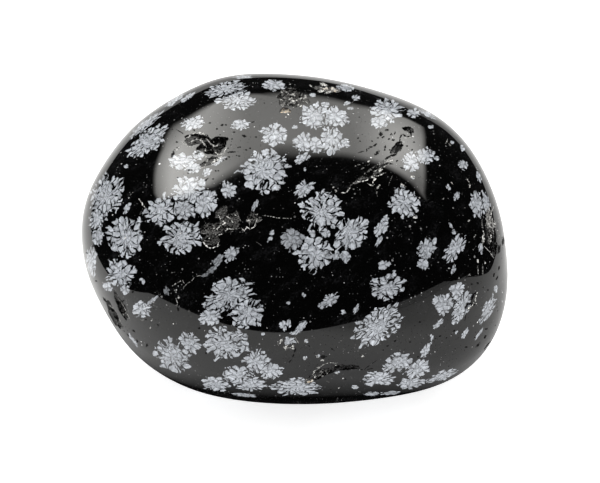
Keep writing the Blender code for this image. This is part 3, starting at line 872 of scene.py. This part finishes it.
# Each flake takes its noise from a place of its own
OWN_PLACE = (37, 91, 0)
tree = bpy.data.node_groups.new("snowflake", "ShaderNodeTree")
for name in ("Place", "Kind"):
    tree.interface.new_socket(name, in_out="INPUT", socket_type="NodeSocketVector")
for name in ("Flake", "Tone"):
    tree.interface.new_socket(name, in_out="OUTPUT", socket_type="NodeSocketFloat")
given = tree.nodes.new("NodeGroupInput")
result = tree.nodes.new("NodeGroupOutput")
place, kind = given.outputs[0], given.outputs[1]
petals = add("SeparateXYZ", [kind])
paleness, seed = petals.node.outputs[1], petals.node.outputs[2]
flat = add("VectorMath MULTIPLY", [place, (1, 1, 0)])
shift = add("CombineXYZ", [seed, seed])
shift = add("VectorMath MULTIPLY", [shift, OWN_PLACE])

# The flake's whole outline is bent a little out of round
bend = add("VectorMath ADD", [flat, shift])
bend = add("TexNoise", out="Color", Vector=bend, Scale=2.6, Detail=1)
bend = add("VectorMath SUBTRACT", [bend, HALF])
bend = add("VectorMath MULTIPLY", [bend, (OUT_OF_ROUND, OUT_OF_ROUND, 0)])
bent = add("VectorMath ADD", [flat, bend])
radius = add("VectorMath LENGTH", [bent], out="Value")

# Petals are cells that lie side by side round the centre and branch outwards
spread = add("Math MAXIMUM", [radius, 0.02])
spread = add("Math POWER", [spread, -BRANCHING])
spread = add("Math MULTIPLY", [spread, petals])
fan = add("VectorMath SCALE", [bent], Scale=spread)
fan = add("VectorMath ADD", [fan, shift])
drift = add("TexNoise", out="Color", noise_dimensions="2D", Vector=fan, Scale=1.3, Detail=1)
drift = add("VectorMath SUBTRACT", [drift, HALF])
drift = add("VectorMath MULTIPLY", [drift, (PETAL_DRIFT, PETAL_DRIFT, 0)])
spot = add("VectorMath ADD", [fan, drift])
cells = {"voronoi_dimensions": "2D", "Vector": spot, "Scale": 1}
petal = add("TexVoronoi", out="Position", feature="F1", **cells)
beside = add("TexVoronoi", out="Position", feature="F2", **cells)
edge = add("TexVoronoi", feature="DISTANCE_TO_EDGE", **cells)
luck = add("SeparateColor", [petal.node.outputs["Color"]])
middle = add("VectorMath SUBTRACT", [petal, shift])
middle = add("VectorMath LENGTH", [middle], out="Value")
small = add("MapRange", [petals, LUMP, 3.2, 0.5, 0])
room = add("Math MULTIPLY_ADD", [petals, MIDDLES_WITHIN, small])
kept = add("Math LESS_THAN", [middle, room])

# Clefts run inwards from the rim to different depths, and only along the petals' sides
across = add("VectorMath SUBTRACT", [beside, petal])
across = add("VectorMath NORMALIZE", [across])
outward = add("VectorMath SUBTRACT", [spot, shift])
outward = add("VectorMath NORMALIZE", [outward])
crossing = add("VectorMath DOT_PRODUCT", [across, outward], out="Value")
crossing = add("Math ABSOLUTE", [crossing])
crossing = add("MapRange", [crossing, 0.6, 0.95, 1, 0])
begins = add("TexNoise", Vector=fan, Scale=0.9, Detail=0, noise_dimensions="2D")
begins = add("MapRange", [begins, 0.36, 0.6, *CLEFTS_BEGIN])
cleft = add("Math SUBTRACT", [radius, begins])
cleft = add("MapRange", [cleft, 0, 0.3, 0, CLEFT_WIDTH])
cleft = add("Math MULTIPLY", [cleft, crossing])
# They are healed here and there, though open at the rim. A small flake is a lump with few
healed = add("TexNoise", Vector=fan, Scale=1.6, Detail=0, noise_dimensions="2D")
healed = add("MapRange", [healed, 0.4, 0.5, *HEALED])
at_rim = add("MapRange", [radius, *OPEN_RIM])
healed = add("Math MAXIMUM", [healed, at_rim])
cleft = add("Math MULTIPLY", [cleft, healed])
grown = add("MapRange", [petals, LUMP, FULL_FLAKE, 0.15, 1])
cleft = add("Math MULTIPLY", [cleft, grown])
ragged = add("TexNoise", Vector=fan, Scale=4.5, Detail=2, noise_dimensions="2D")
ragged = add("MapRange", [ragged, 0.25, 0.75, -RAGGED_BY, RAGGED_BY])
ragged = add("Math MULTIPLY_ADD", [ragged, grown, edge])
parted = add("Math SUBTRACT", [ragged, cleft])
parted = add("MapRange", [parted, -EDGE_SOFTNESS, EDGE_SOFTNESS])

# Each petal ends round, at its own length
side = add("MapRange", [edge, 0, HALF_PETAL, 1, 0])
bow = add("Math MULTIPLY", [side, side])
bow = add("Math SUBTRACT", [1, bow], use_clamp=True)
bow = add("Math SQRT", [bow])
round_off = add("Math SUBTRACT", [1, bow])
round_end = add("Math DIVIDE", [ROUND_PETALS, petals])
round_end = add("Math MINIMUM", [round_end, ROUNDEST])
bow = add("Math MULTIPLY", [round_off, round_end])
length = add("MapRange", [luck, 0, 1, *PETAL_ENDS])
wobble = add("TexNoise", Vector=fan, Scale=3.5, Detail=1.5, noise_dimensions="2D")
wobble = add("MapRange", [wobble, 0, 1, -1, 1])
swing = add("MapRange", [small, 0, 0.5, *WOBBLES])
length = add("Math MULTIPLY_ADD", [wobble, swing, length])
rim = add("Math SUBTRACT", [length, bow])
inside = add("Math LESS_THAN", [radius, rim])
# The outermost are stumps: each reaches only so far beyond the middle of its cell
ahead = add("VectorMath SUBTRACT", [spot, petal])
ahead = add("VectorMath DOT_PRODUCT", [ahead, outward], out="Value")
stump = add("MapRange", [luck.node.outputs[2], 0, 1, *STUMP_ENDS])
stump = add("Math ADD", [stump, small])
stump = add("MapRange", [radius, *STUMPS_BEGIN, 1.5, stump])
stump = add("Math MULTIPLY_ADD", [round_off, -STUMP_ROUNDING, stump])
stump = add("Math LESS_THAN", [ahead, stump])
there = inside
for share in (parted, stump, kept):
    there = add("Math MULTIPLY", [there, share])
tree.links.new(there, result.inputs[0])

# Petals are palest along their middles, mottled, and streaked outwards from the flake's centre
seam = add("MapRange", [radius, 0.1, 0.6, *SEAM_TONES])
tone = add("MapRange", [ragged, 0, 0.2, seam, 1])
mottle = add("TexNoise", noise_dimensions="2D", Vector=fan, Scale=1.4, Detail=4, Roughness=0.65)
mottle = add("MapRange", [mottle, 0.28, 0.72, *MOTTLES])
speckle = add("TexNoise", noise_dimensions="2D", Vector=fan, Scale=7, Detail=2, Roughness=0.6)
speckle = add("MapRange", [speckle, 0.3, 0.7, *SPECKLES])
ray = add("VectorMath NORMALIZE", [bent])
rise = add("Math MULTIPLY_ADD", [radius, 0.5, seed])
ray = add("VectorMath ADD", [ray, add("CombineXYZ", Z=rise)])
ray = add("TexNoise", Vector=ray, Scale=5, Detail=3, Roughness=0.6)
ray = add("MapRange", [ray, 0.3, 0.7, *RAYS])
own = add("MapRange", [luck.node.outputs[1], 0, 1, *OWN_TONES])
for factor in (mottle, speckle, ray, own, paleness):
    tone = add("Math MULTIPLY", [tone, factor])
tree.links.new(tone, result.inputs[1])

OBSIDIAN = linear("#010101")
SMOKE = linear("#262628")
CRISTOBALITE = linear("#acb0b6")
GLASS_IOR = 1.5
glass = bpy.data.materials.new("polished_snowflake_obsidian")
glass.use_nodes = True
pattern = tree
tree = glass.node_tree
shader = tree.nodes["Principled BSDF"]
shader.inputs["IOR"].default_value = GLASS_IOR

# Where two flakes meet, a dark gap parts them, which narrows and widens over half a millimetre
FLAKE_GAP = (-0.03, 0.13)
GAP_SOFTNESS = 0.02
GAP_WAVER = 0.5 * MM
spots = add("TexCoord", out="Object")
seam = add("TexNoise", Vector=spots, Scale=1 / GAP_WAVER, Detail=2)
seam = add("MapRange", [seam, 0.35, 0.65, *FLAKE_GAP])
places = [add("Attribute", out="Vector", attribute_name=name + "_flake") for name in FLAKE_SHARES]
reaches = [add("VectorMath MULTIPLY", [place, (1, 1, 0)]) for place in places]
reaches = [add("VectorMath LENGTH", [reach], out="Value") for reach in reaches]
flake, tone = 0, 0
for number, name in enumerate(FLAKE_SHARES):
    kind = add("Attribute", out="Vector", attribute_name=name + "_kind")
    one = add("Group", node_tree=pattern, Place=places[number], Kind=kind)
    lead = add("Math MINIMUM", reaches[:number] + reaches[number + 1 :])
    lead = add("Math SUBTRACT", [lead, reaches[number]])
    lead = add("Math SUBTRACT", [lead, seam])
    own_side = add("MapRange", [lead, -GAP_SOFTNESS, GAP_SOFTNESS])
    drawn = add("Math MULTIPLY", [one, own_side])
    shown = add("Math MULTIPLY", [drawn, one.node.outputs[1]])
    tone = add("Math MAXIMUM", [shown, tone])
    flake = add("Math MAXIMUM", [drawn, flake])
grey = add("VectorMath SCALE", [CRISTOBALITE[:3]], Scale=tone)
clear = add("Math SUBTRACT", [1, flake])
colour = add("VectorMath SCALE", [OBSIDIAN[:3]], Scale=clear)
colour = add("VectorMath ADD", [colour, grey])

# The glass mirrors almost sharply. Its polish varies a little, and the flakes take a softer one
POLISH = (0.03, 0.06)
FLAKE_POLISH = 0.11
POLISH_PATCH = 4 * MM
rubbed = add("TexNoise", Vector=spots, Scale=1 / POLISH_PATCH, Detail=3)
rubbed = add("MapRange", [rubbed, 0.35, 0.65, *POLISH])
polish = add("MapRange", [flake, 0, 1, rubbed, FLAKE_POLISH])

# Smoke: drifts of the finest dust, drawn out the way the lava flowed. Its real grains are a few
# thousandths of a millimetre, too fine to show, so its wisps are drawn at 0.16 mm
FLOW, _ = picture_axes(38)
FLOW_STRETCH = 0.5
DRIFT_SIZE = 1.2 * MM
WISP_SIZE = 0.16 * MM
SMOKE_SHOWS = (0.5, 0.72)
WISPS_SHOW = (0.48, 0.75)
DUST_IN_SMOKE = (0.3, 1.5)
along = add("VectorMath DOT_PRODUCT", [spots, FLOW], out="Value")
along = add("VectorMath SCALE", [FLOW * FLOW_STRETCH], Scale=along)
drawn_out = add("VectorMath SUBTRACT", [spots, along])
smoke = add("TexNoise", Vector=drawn_out, Scale=1 / DRIFT_SIZE, Detail=2)
smoke = add("MapRange", [smoke, *SMOKE_SHOWS])
wisp = add("TexNoise", Vector=drawn_out, Scale=1 / WISP_SIZE, Detail=3, Roughness=0.7)
wisp = add("MapRange", [wisp, *WISPS_SHOW])
wisp = add("Math MULTIPLY", [wisp, smoke])
wisp = add("Math MULTIPLY", [wisp, clear])
wisp = add("VectorMath SCALE", [SMOKE[:3]], Scale=wisp)
colour = add("VectorMath ADD", [colour, wisp])
thick = add("MapRange", [smoke, 0, 0.7, *DUST_IN_SMOKE])

# Dust-fine crystals all through the glass, drawn as coarse as they need to show: how far apart,
# how wide as a share of that, how many are left out, and how bright
DUST = ((0.26 * MM, 0.15, 0.5, 0.45), (0.5 * MM, 0.12, 0.55, 0.75), (1.5 * MM, 0.06, 0.45, 0.9))
for apart, wide, left_out, bright in DUST:
    dust = add("TexVoronoi", Vector=spots, Scale=1 / apart)
    luck = add("SeparateColor", [dust.node.outputs["Color"]])
    size = add("MapRange", [luck.node.outputs[1], 0, 1, 0.4 * wide, 1.4 * wide])
    speck = add("Math LESS_THAN", [dust, size])
    rare = add("Math GREATER_THAN", [luck, left_out])
    glow = add("Math POWER", [luck.node.outputs[2], 2])
    for factor in (rare, clear, glow, bright, thick):
        speck = add("Math MULTIPLY", [speck, factor])
    colour = add("VectorMath ADD", [colour, add("CombineXYZ", [speck] * 3)])

# Pinholes that the polish left dull, thicker in some places than in others, and a finer grain
# that only dims the reflection: how far apart, and how wide as a share of that
DULL = 0.95
HOLES = ((0.5 * MM, 0.2), (0.19 * MM, 0.25))
HOLE_PATCH = 5 * MM
HOLE_PATCHES = (0.45, 1)
SMALLEST_HOLE = 0.02
HOLES_LEFT_OUT = 0.3
patch = add("TexNoise", Vector=spots, Scale=1 / HOLE_PATCH, Detail=1)
patch = add("MapRange", [patch, 0.42, 0.58, *HOLE_PATCHES])
roughness = polish
for apart, wide in HOLES:
    holes = add("TexVoronoi", Vector=spots, Scale=1 / apart)
    luck = add("SeparateColor", [holes.node.outputs["Color"]])
    size = add("MapRange", [luck.node.outputs[1], 0, 1, SMALLEST_HOLE, wide])
    size = add("Math MULTIPLY", [size, patch])
    pinhole = add("Math LESS_THAN", [holes, size])
    for factor in (add("Math GREATER_THAN", [luck, HOLES_LEFT_OUT]), clear):
        pinhole = add("Math MULTIPLY", [pinhole, factor])
    roughness = add("MapRange", [pinhole, 0, 1, roughness, DULL])

# The pits: black facets whose crests, where chips meet, are pale, partly a pale coating and partly a
# painted highlight, and grey grit that turns to golden crumbs
GRIT = linear("#4b4947")
PALE_CRUST_AND_GLINT = linear("#dad9d5")
GOLDEN = linear("#dcc5a4")
BROKEN_FINISH = (0.25, 0.8)
GRAIN_SIZE = 0.45 * MM
GRIT_SIZE = 0.16 * MM
DENT_DEPTH = 0.2 * MM
DENT_STRENGTH = 0.6

# From where on the noise shows as grit, on a clean floor and on a rough one, and where edges,
# crumbs and stains begin to show and are full
GRIT_FROM = (0.62, 0.44)
GRIT_RANGE = 0.16
EDGES_SHOW = (1.3, 1.38)
CRUMBS_SHOW = (0.7, 0.76)
STAINS_SHOW = (0.42, 0.6)
pit = add("Attribute", out="Vector", attribute_name="pit_look")
pit = add("SeparateXYZ", [pit])
ridge, grit = pit.node.outputs[1], pit.node.outputs[2]
grain = add("TexNoise", Vector=spots, Scale=1 / GRAIN_SIZE, Detail=5, Roughness=0.7)
fine = add("TexNoise", Vector=spots, Scale=1 / GRIT_SIZE, Detail=2)
cleaner = add("MapRange", [grit, 0, 0.6, *GRIT_FROM])
gritty = add("Math SUBTRACT", [fine, cleaner])
gritty = add("MapRange", [gritty, 0, GRIT_RANGE])
sandy = add("MixRGB", [gritty, OBSIDIAN, GRIT])
# Painted highlight on the crests: where two chips meet, the colour turns pale as well as coated
crest_coating_and_highlight = add("Math MULTIPLY_ADD", [fine, 0.7, ridge])
crest_coating_and_highlight = add("MapRange", [crest_coating_and_highlight, *EDGES_SHOW])
crumb = add("Math MULTIPLY_ADD", [grit, 0.22, grain])
crumb = add("MapRange", [crumb, *CRUMBS_SHOW])
pale = add("Math MAXIMUM", [crest_coating_and_highlight, crumb])
golden = add("MapRange", [grit, 0.8, 1, 0, 1])
stained = add("MapRange", [fine, *STAINS_SHOW])
golden = add("Math MULTIPLY", [golden, stained])
pale_colour = add("MixRGB", [golden, PALE_CRUST_AND_GLINT, GOLDEN])
broken = add("MixRGB", [pale, sandy, pale_colour])
colour = add("MixRGB", [pit, colour, broken])
rough = add("Math MAXIMUM", [gritty, pale])
rough = add("MapRange", [rough, 0, 1, *BROKEN_FINISH])
roughness = add("MapRange", [pit, 0, 1, roughness, rough])
dents = add("Math MULTIPLY", [pit, DENT_STRENGTH])
bump = add("Bump", Height=grain, Strength=dents, Distance=DENT_DEPTH)

# The small marks: ovals with tattered rims, dull black or pale. Tatters move the rim in and out
# by so many of the oval's own sizes, on a black mark and on a pale one
TATTER_SIZE = 0.14 * MM
TATTERS_IN = (0.5, 1.15)
TATTERS_OUT = (-0.35, -0.7)
RIM_SHOWS = (1.15, 0.85)
GLINTS = (0.15, 1.3)
mark = add("Attribute", out="Vector", attribute_name="mark")
pale = add("SeparateXYZ", [mark], out=2)
oval = add("VectorMath MULTIPLY", [mark, (1, 1, 0)])
oval = add("VectorMath LENGTH", [oval], out="Value")
tatter = add("TexNoise", Vector=spots, Scale=1 / TATTER_SIZE, Detail=1)
ragged = add("Math GREATER_THAN", [pale, 0])
most = add("MapRange", [ragged, 0, 1, *TATTERS_IN])
least = add("MapRange", [ragged, 0, 1, *TATTERS_OUT])
tatter = add("MapRange", [tatter, 0.3, 0.7, least, most])
oval = add("Math ADD", [oval, tatter])
worn = add("MapRange", [oval, *RIM_SHOWS])
# Painted glints: the pale marks' colour sparkles with fine noise, as broken edges catch the light, over
# the paleness of the chips themselves
sparkle = add("MapRange", [fine, 0.4, 0.57, *GLINTS])
sparkle = add("Math MULTIPLY", [sparkle, pale])
glint = add("VectorMath SCALE", [PALE_CRUST_AND_GLINT[:3]], Scale=sparkle)
colour = add("MixRGB", [worn, colour, glint])
roughness = add("MapRange", [worn, 0, 1, roughness, DULL])
tree.links.new(colour, shader.inputs["Base Color"])
tree.links.new(roughness, shader.inputs["Roughness"])
tree.links.new(bump, shader.inputs["Normal"])
stone.data.materials.append(glass)
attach(stone, "root")
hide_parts("snowflake_obsidian")


# The setting
# A lit white table, even white light from all round, and one wide soft panel above and behind.
# The polish mirrors the panel and, below it, a sheet of paper round the stone and a low grey card.


def flat_shape(name, outline):
    """A flat mesh with this outline, given in mm as x, y in its own plane."""
    bpy.ops.object.select_all(action="DESELECT")
    bpy.ops.mesh.primitive_circle_add(vertices=len(outline), fill_type="NGON")
    made = bpy.context.object
    made.name = name
    move_corners(made.data, [(x * MM, y * MM, 0) for x, y in outline])
    return made


def matt(name, colour):
    """A dull material of one colour that mirrors nothing: painted acrylic, paper or card."""
    made = bpy.data.materials.new(name)
    made.use_nodes = True
    sockets = made.node_tree.nodes["Principled BSDF"].inputs
    sockets["Base Color"].default_value = linear(colour)
    sockets["Roughness"].default_value = 1
    sockets["Specular IOR Level"].default_value = 0
    return made, sockets


# The table is acrylic lit from below, without a shine
TABLE_SIZE = 3
TABLE_DROP = 0.1 * MM
TABLE_GLOW = 0.62
acrylic, sockets = matt("matt_white_acrylic", "#f2f2f2")
sockets["Emission Color"].default_value = (1, 1, 1, 1)
sockets["Emission Strength"].default_value = TABLE_GLOW
bpy.ops.object.select_all(action="DESELECT")
bpy.ops.mesh.primitive_plane_add(size=TABLE_SIZE)
table = bpy.context.object
table.name = "lit_table"
table.data.transform(Matrix.Translation((0, 0, -TABLE_DROP)))
table.data.materials.append(acrylic)
table.visible_glossy = False

# What the polish mirrors of the table is a sheet of paper on it. Its colour holds a painted shadow
# under the stone, where no light gets in: the shadow's half axes, how far its edge is spread in shares of
# them, and how pale the paper is there and beyond. Painted shade also dims it far behind the stone and to
# its right: from where to where, and how far
UNDER_STONE = (1 / (14.5 * MM), 1 / (16 * MM), 0)
SHADOW_EDGE = (1.04, 1.5)
UNLIT, LIT = 0.015, 0.88
PAINTED_SHADE_BEHIND = (20 * MM, 90 * MM, 1, 0.5)
PAINTED_SHADE_RIGHT = (16 * MM, 38 * MM, 1, 0.68)
paper, sockets = matt("paper_with_painted_shadow", "#ffffff")
tree = paper.node_tree
place = add("TexCoord", out="Object")
under = add("VectorMath MULTIPLY", [place, UNDER_STONE])
under = add("VectorMath LENGTH", [under], out="Value")
# Painted shadow: the paper's colour is dark under the stone
pale = add("MapRange", [under, *SHADOW_EDGE, UNLIT, LIT])
side = add("SeparateXYZ", [place])
behind = side.node.outputs[1]
# Painted shade: the paper's colour darkens far behind the stone and to its right
for painted_shade in ([behind, *PAINTED_SHADE_BEHIND], [side, *PAINTED_SHADE_RIGHT]):
    pale = add("Math MULTIPLY", [pale, add("MapRange", painted_shade)])
tree.links.new(add("CombineColor", [pale] * 3), sockets["Base Color"])
SHEET_OUTLINE = (
    (-46, 12), (-52, 27), (-57, 45), (-50, 70), (-57, 100), (-75, 170), (-110, 320), (-40, 300),
    (-10, 160), (3, 90), (12, 75), (24, 97), (42, 136), (52, 130), (45, 70), (43, 45), (50, 30),
    (42, 9), (44, 1), (51, -3), (62, -8), (79, -14), (110, -25), (150, -43), (295, -100), (330, -112),
    (330, -132), (230, -235), (115, -245), (36, -150), (0, -100),
    (-19, -84), (-70, -105), (-120, -100), (-110, -60), (-60, -26), (-44, -8), (-45, 2),
)
ROUNDINGS = 2
outline = SHEET_OUTLINE
for _ in range(ROUNDINGS):
    # Each corner is cut off, at a quarter of both its sides
    ends = list(zip(outline, outline[1:] + outline[:1]))
    cuts = [(start, end, share) for start, end in ends for share in (0.25, 0.75)]
    outline = [(a + (c - a) * share, b + (d - b) * share) for (a, b), (c, d), share in cuts]
sheet = flat_shape("mirrored_sheet", outline)
sheet.data.materials.append(paper)
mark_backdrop(sheet, table)

# A low grey card stands beyond the paper at the right, and raises the edge of what is mirrored
CARD_DISTANCE = 420 * MM
CARD_AROUND = math.radians(124)
CARD_OUTLINE = (
    (-205, -60), (205, -60), (205, 50), (-20, 48), (-48, 43), (-76, 36), (-98, 12), (-124, -18)
)
card = flat_shape("mirrored_card", CARD_OUTLINE)
card.rotation_euler = (math.pi / 2, 0, -CARD_AROUND)
card.location = Vector((math.sin(CARD_AROUND), math.cos(CARD_AROUND), 0)) * CARD_DISTANCE
card.data.materials.append(matt("matt_grey_card", "#a6a6a6")[0])
card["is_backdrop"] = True
for mirrored in (sheet, card):
    mirrored.visible_camera = False
    mirrored.visible_diffuse = False
    mirrored.visible_shadow = False

# The panel's edges as they curve across its frame, in mm from its middle
PANEL_DISTANCE = 500 * MM
PANEL_ELEVATION = math.radians(36)
PANEL_SOFT_EDGE = 26 * MM
PANEL_OUTLINE = (
    (-224, -163), (-186, -129), (-140, -103), (-63, -100), (0, -124), (55, -218), (94, -284),
    (169, -284), (232, -276), (247, -173), (256, -97), (274, 14), (310, 106), (357, 203),
    (418, 268), (325, 227), (260, 187), (188, 152), (115, 121), (52, 108), (-5, 110), (-36, 136),
    (-73, 167), (-147, 228), (-269, 267), (-439, 259), (-418, 188), (-376, 131), (-314, 35),
    (-266, -33), (-243, -117),
)
panel = flat_shape("soft_panel", PANEL_OUTLINE)
bpy.ops.object.mode_set(mode="EDIT")
bpy.ops.mesh.select_all(action="SELECT")
bpy.ops.mesh.inset(thickness=PANEL_SOFT_EDGE)
bpy.ops.object.mode_set(mode="OBJECT")
lit = [float(number >= len(PANEL_OUTLINE)) for number in range(len(panel.data.vertices))]
panel.data.attributes.new("lit", "FLOAT", "POINT").data.foreach_set("value", lit)
away = Vector((0, math.cos(PANEL_ELEVATION), math.sin(PANEL_ELEVATION))) * PANEL_DISTANCE
facing = Matrix.Rotation(math.pi / 2 + PANEL_ELEVATION, 4, "X")
panel.matrix_world = Matrix.Translation(STONE_MIDDLE + away) @ facing
panel.visible_camera = False
panel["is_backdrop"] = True

# Its glow. The polish shows the panel upside down: there it is bright at the left, brightest at the
# right and dim in the middle, and it fades towards its ends, the lower right and the top. Each
# change runs from where to where, in mm across or up from its middle, and from what to what
PANEL_WHITE = (1, 0.99, 0.955, 1)
LEFT_GLOW = (-230 * MM, -50 * MM, 5.8, 2)
RIGHT_GLOW = (70 * MM, 240 * MM, 0, 6.4)
LEFT_END = (-330 * MM, -180 * MM)
RIGHT_END = (150 * MM, 240 * MM, 1, 0.42)
TOP_TO_BOTTOM = (-240 * MM, 60 * MM, 0.62, 1.6)
LOW = (-20 * MM, 160 * MM)
LOW_RIGHT = (0, 200 * MM)
LOW_RIGHT_SHARE = 0.45

# How its two ends lean: mm to the left for each mm up
LEFT_LEAN = 0.6
RIGHT_LEAN = -0.15
cloth = bpy.data.materials.new("lit_cloth_panel")
cloth.use_nodes = True
tree = cloth.node_tree
tree.nodes.remove(tree.nodes["Principled BSDF"])
side = add("SeparateXYZ", [add("TexCoord", out="Object")])
height = side.node.outputs[1]
left = add("MapRange", [side, *LEFT_GLOW])
right = add("MapRange", [side, *RIGHT_GLOW])
strength = add("Math ADD", [left, right])
inwards = add("Math MULTIPLY_ADD", [height, LEFT_LEAN, side])
inwards = add("MapRange", [inwards, *LEFT_END])
lit = add("Attribute", out="Fac", attribute_name="lit")
low = add("MapRange", [height, *LOW])
low_right = add("MapRange", [side, *LOW_RIGHT])
low_right = add("Math MULTIPLY", [low, low_right])
low_right = add("MapRange", [low_right, 0, 1, 1, LOW_RIGHT_SHARE])
lower = add("MapRange", [height, *TOP_TO_BOTTOM])
right_end = add("Math MULTIPLY_ADD", [height, RIGHT_LEAN, side])
right_end = add("MapRange", [right_end, *RIGHT_END])
for factor in (inwards, lit, low_right, lower, right_end):
    strength = add("Math MULTIPLY", [strength, factor])
light = add("Emission", Color=PANEL_WHITE, Strength=strength)
tree.links.new(light, tree.nodes["Material Output"].inputs["Surface"])
panel.data.materials.append(cloth)

# Even white light comes from all round, but the room that the polish mirrors is dark
ROOM_IN_POLISH = 0.022
world = bpy.data.worlds.new("even_white_light")
world.use_nodes = True
tree = world.node_tree
background = tree.nodes["Background"]
background.inputs["Color"].default_value = (1, 1, 1, 1)
mirrored = add("LightPath", out="Is Glossy Ray")
strength = add("MapRange", [mirrored, 0, 1, 1, ROOM_IN_POLISH])
tree.links.new(strength, background.inputs["Strength"])
bpy.context.scene.world = world
bpy.context.scene.view_settings.view_transform = "Standard"


# The sizes of the CAD box and of the finished piece
low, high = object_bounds()
boxes = {"cad": (cad_low, cad_high), "visual": (low, high)}
boxes = {
    name: [[round(float(value), 6) for value in corner] for corner in box]
    for name, box in boxes.items()
}
